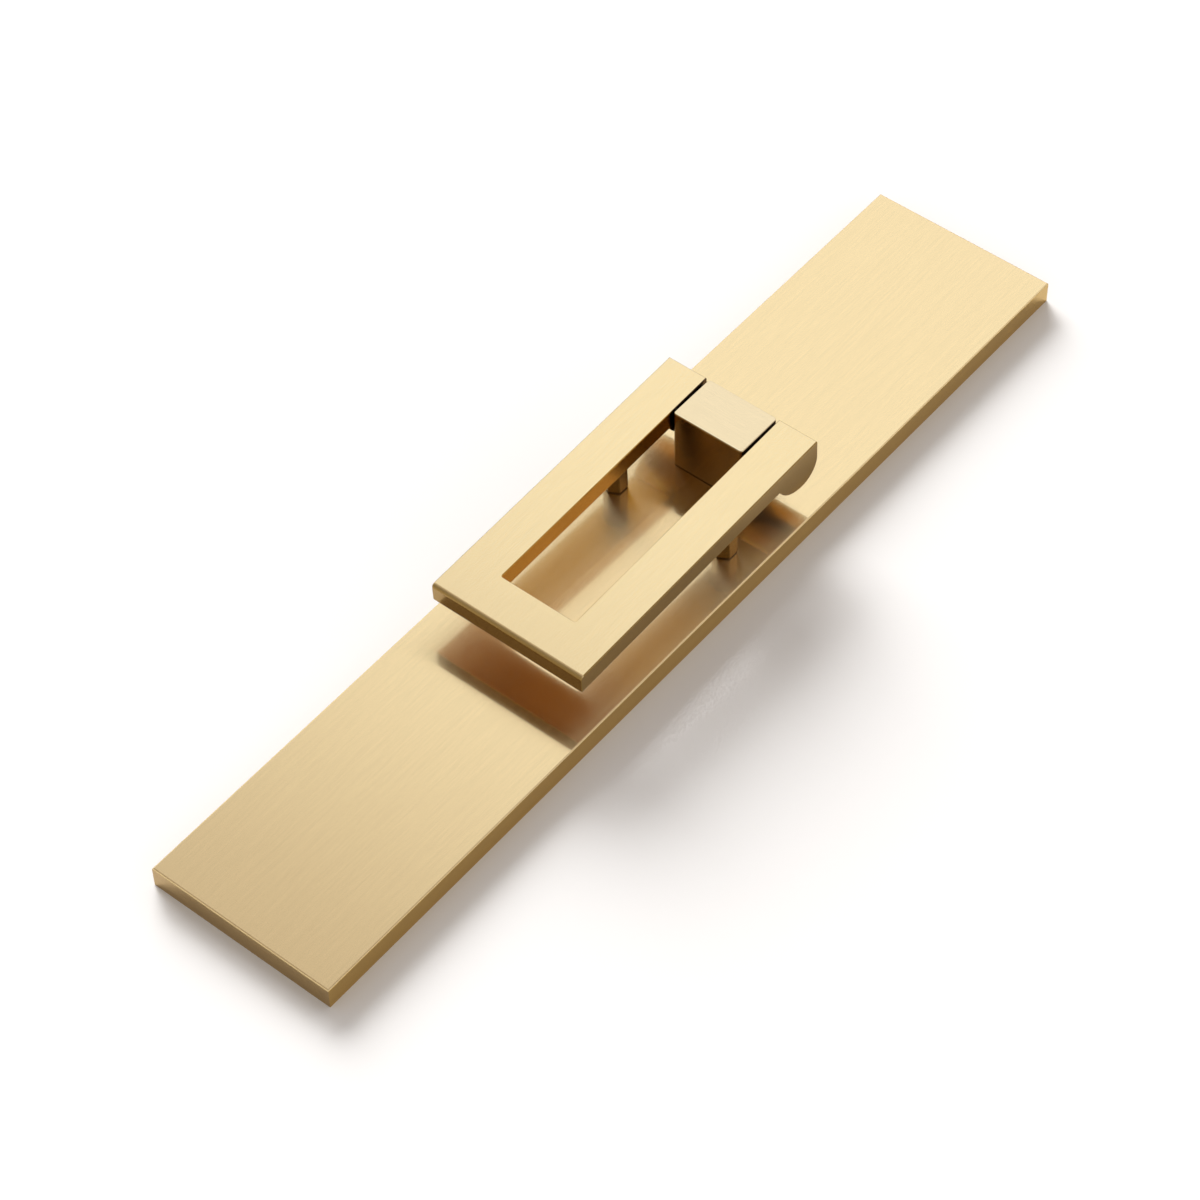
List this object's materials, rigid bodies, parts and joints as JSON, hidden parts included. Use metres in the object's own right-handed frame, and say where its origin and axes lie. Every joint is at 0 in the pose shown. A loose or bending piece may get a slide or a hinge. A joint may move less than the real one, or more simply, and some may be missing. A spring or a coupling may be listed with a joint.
{
  "type": "folding pull handle",
  "caption": "Long flat backplate with a block post and a flat rectangular pull ring hinged to it; the ring lifts to be pulled and folds down to rest on pegs over the plate.",
  "frame": {"origin": "centre of the backplate's rear face, which lies against the door", "axes": "+Z out of the plate towards the user, +Y along the plate towards the hinge end, +X across the plate"},
  "size_m": [0.05, 0.26, 0.0233],
  "materials": {
    "satin_brass": "satin, finely brushed along the plate",
    "plated_steel": "zinc plated",
    "washer_nylon": "matt, black"
  },
  "bodies": {
    "base": {"backplate": "satin_brass", "hinge_post": "satin_brass", "post_screws": "plated_steel"},
    "handle": {"pull_ring": "satin_brass", "hinge_pin": "satin_brass", "left_stop_peg": "satin_brass", "right_stop_peg": "satin_brass", "left_hinge_washer": "washer_nylon", "right_hinge_washer": "washer_nylon"}
  },
  "joints": [
    {"name": "ring_lift", "type": "hinge", "parent": "base", "child": "handle", "pos_m": [0, 0.0365, 0.018], "axis": [-1, 0, 0], "range_deg": [0, 186.6]}
  ]
}
